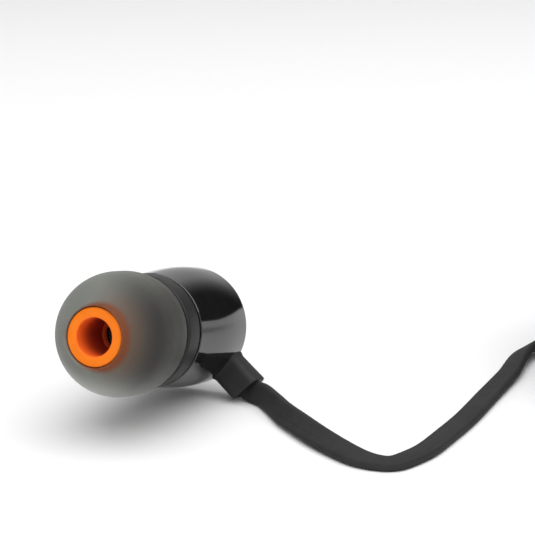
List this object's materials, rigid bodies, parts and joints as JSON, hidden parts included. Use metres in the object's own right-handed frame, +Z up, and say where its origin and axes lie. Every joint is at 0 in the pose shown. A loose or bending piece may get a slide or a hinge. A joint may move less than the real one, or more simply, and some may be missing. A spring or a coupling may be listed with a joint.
{
  "type": "wired in-ear earphones",
  "caption": "Pair of in-ear earphones with silicone tips, glossy housings, flat tangle-free cables, a splitter, a one-button remote and a 3.5 mm plug.",
  "frame": {"origin": "middle of the pair of earbuds, on the surface that everything lies on", "axes": "+Z up; +X from the left earbud to the right one; +Y away from the viewer of the picture"},
  "size_m": [0.1126, 0.0521, 0.0232],
  "materials": {
    "silicone": "translucent grey silicone",
    "orange": "satin orange silicone",
    "satin": "satin black plastic",
    "gloss": "polished black plastic",
    "rubber": "matt black rubber",
    "cord": "matt black jacket",
    "metal": "plated steel",
    "gold": "gold plating",
    "copper": "enamelled copper wire",
    "board": "solder mask",
    "film": "polymer film"
  },
  "bodies": {
    "root": {"left_front_housing": "satin", "left_nozzle_screen": "metal", "left_gasket": "rubber", "left_driver_frame": "satin", "left_diaphragm": "film", "left_voice_coil": "copper", "left_pole_plate": "metal", "left_magnet": "metal", "left_yoke": "metal", "left_terminal_board": "board", "left_rear_shell": "gloss", "left_rear_cap": "gloss", "left_cable_boot": "rubber", "right_front_housing": "satin", "right_nozzle_screen": "metal", "right_gasket": "rubber", "right_driver_frame": "satin", "right_diaphragm": "film", "right_voice_coil": "copper", "right_pole_plate": "metal", "right_magnet": "metal", "right_yoke": "metal", "right_terminal_board": "board", "right_rear_shell": "gloss", "right_rear_cap": "gloss", "right_cable_boot": "rubber", "left_cable": "cord", "left_cable_coil": "cord", "left_lead": "cord", "left_bend": "cord", "right_cable": "cord", "right_cable_coil": "cord", "right_lead": "cord", "trunk_cable": "cord", "trunk_cable_coil": "cord", "trunk_lead": "cord", "splitter": "rubber", "remote_rear": "rubber", "remote_front": "rubber", "remote_board": "board", "remote_switch": "metal", "microphone": "metal", "plug_relief": "rubber", "plug_grip": "gloss", "plug_sleeve": "gold", "plug_ring": "gold", "plug_tip": "gold", "plug_insulator": "rubber"},
    "left_tip": {"left_tip_dome": "silicone", "left_tip_core": "orange"},
    "right_tip": {"right_tip_dome": "silicone", "right_tip_core": "orange"},
    "button": {"remote_button": "gloss"}
  },
  "joints": [
    {"name": "left_tip_pull", "type": "slide", "parent": "root", "child": "left_tip", "axis": [-0.375, -0.9008, 0.2192], "range_m": [0, 0.006]},
    {"name": "right_tip_pull", "type": "slide", "parent": "root", "child": "right_tip", "axis": [0.375, 0.9008, 0.2192], "range_m": [0, 0.006]},
    {"name": "button_press", "type": "slide", "parent": "root", "child": "button", "axis": [0, 0, -1], "range_m": [0, 0.0004], "stiffness_N_per_m": 200}
  ]
}
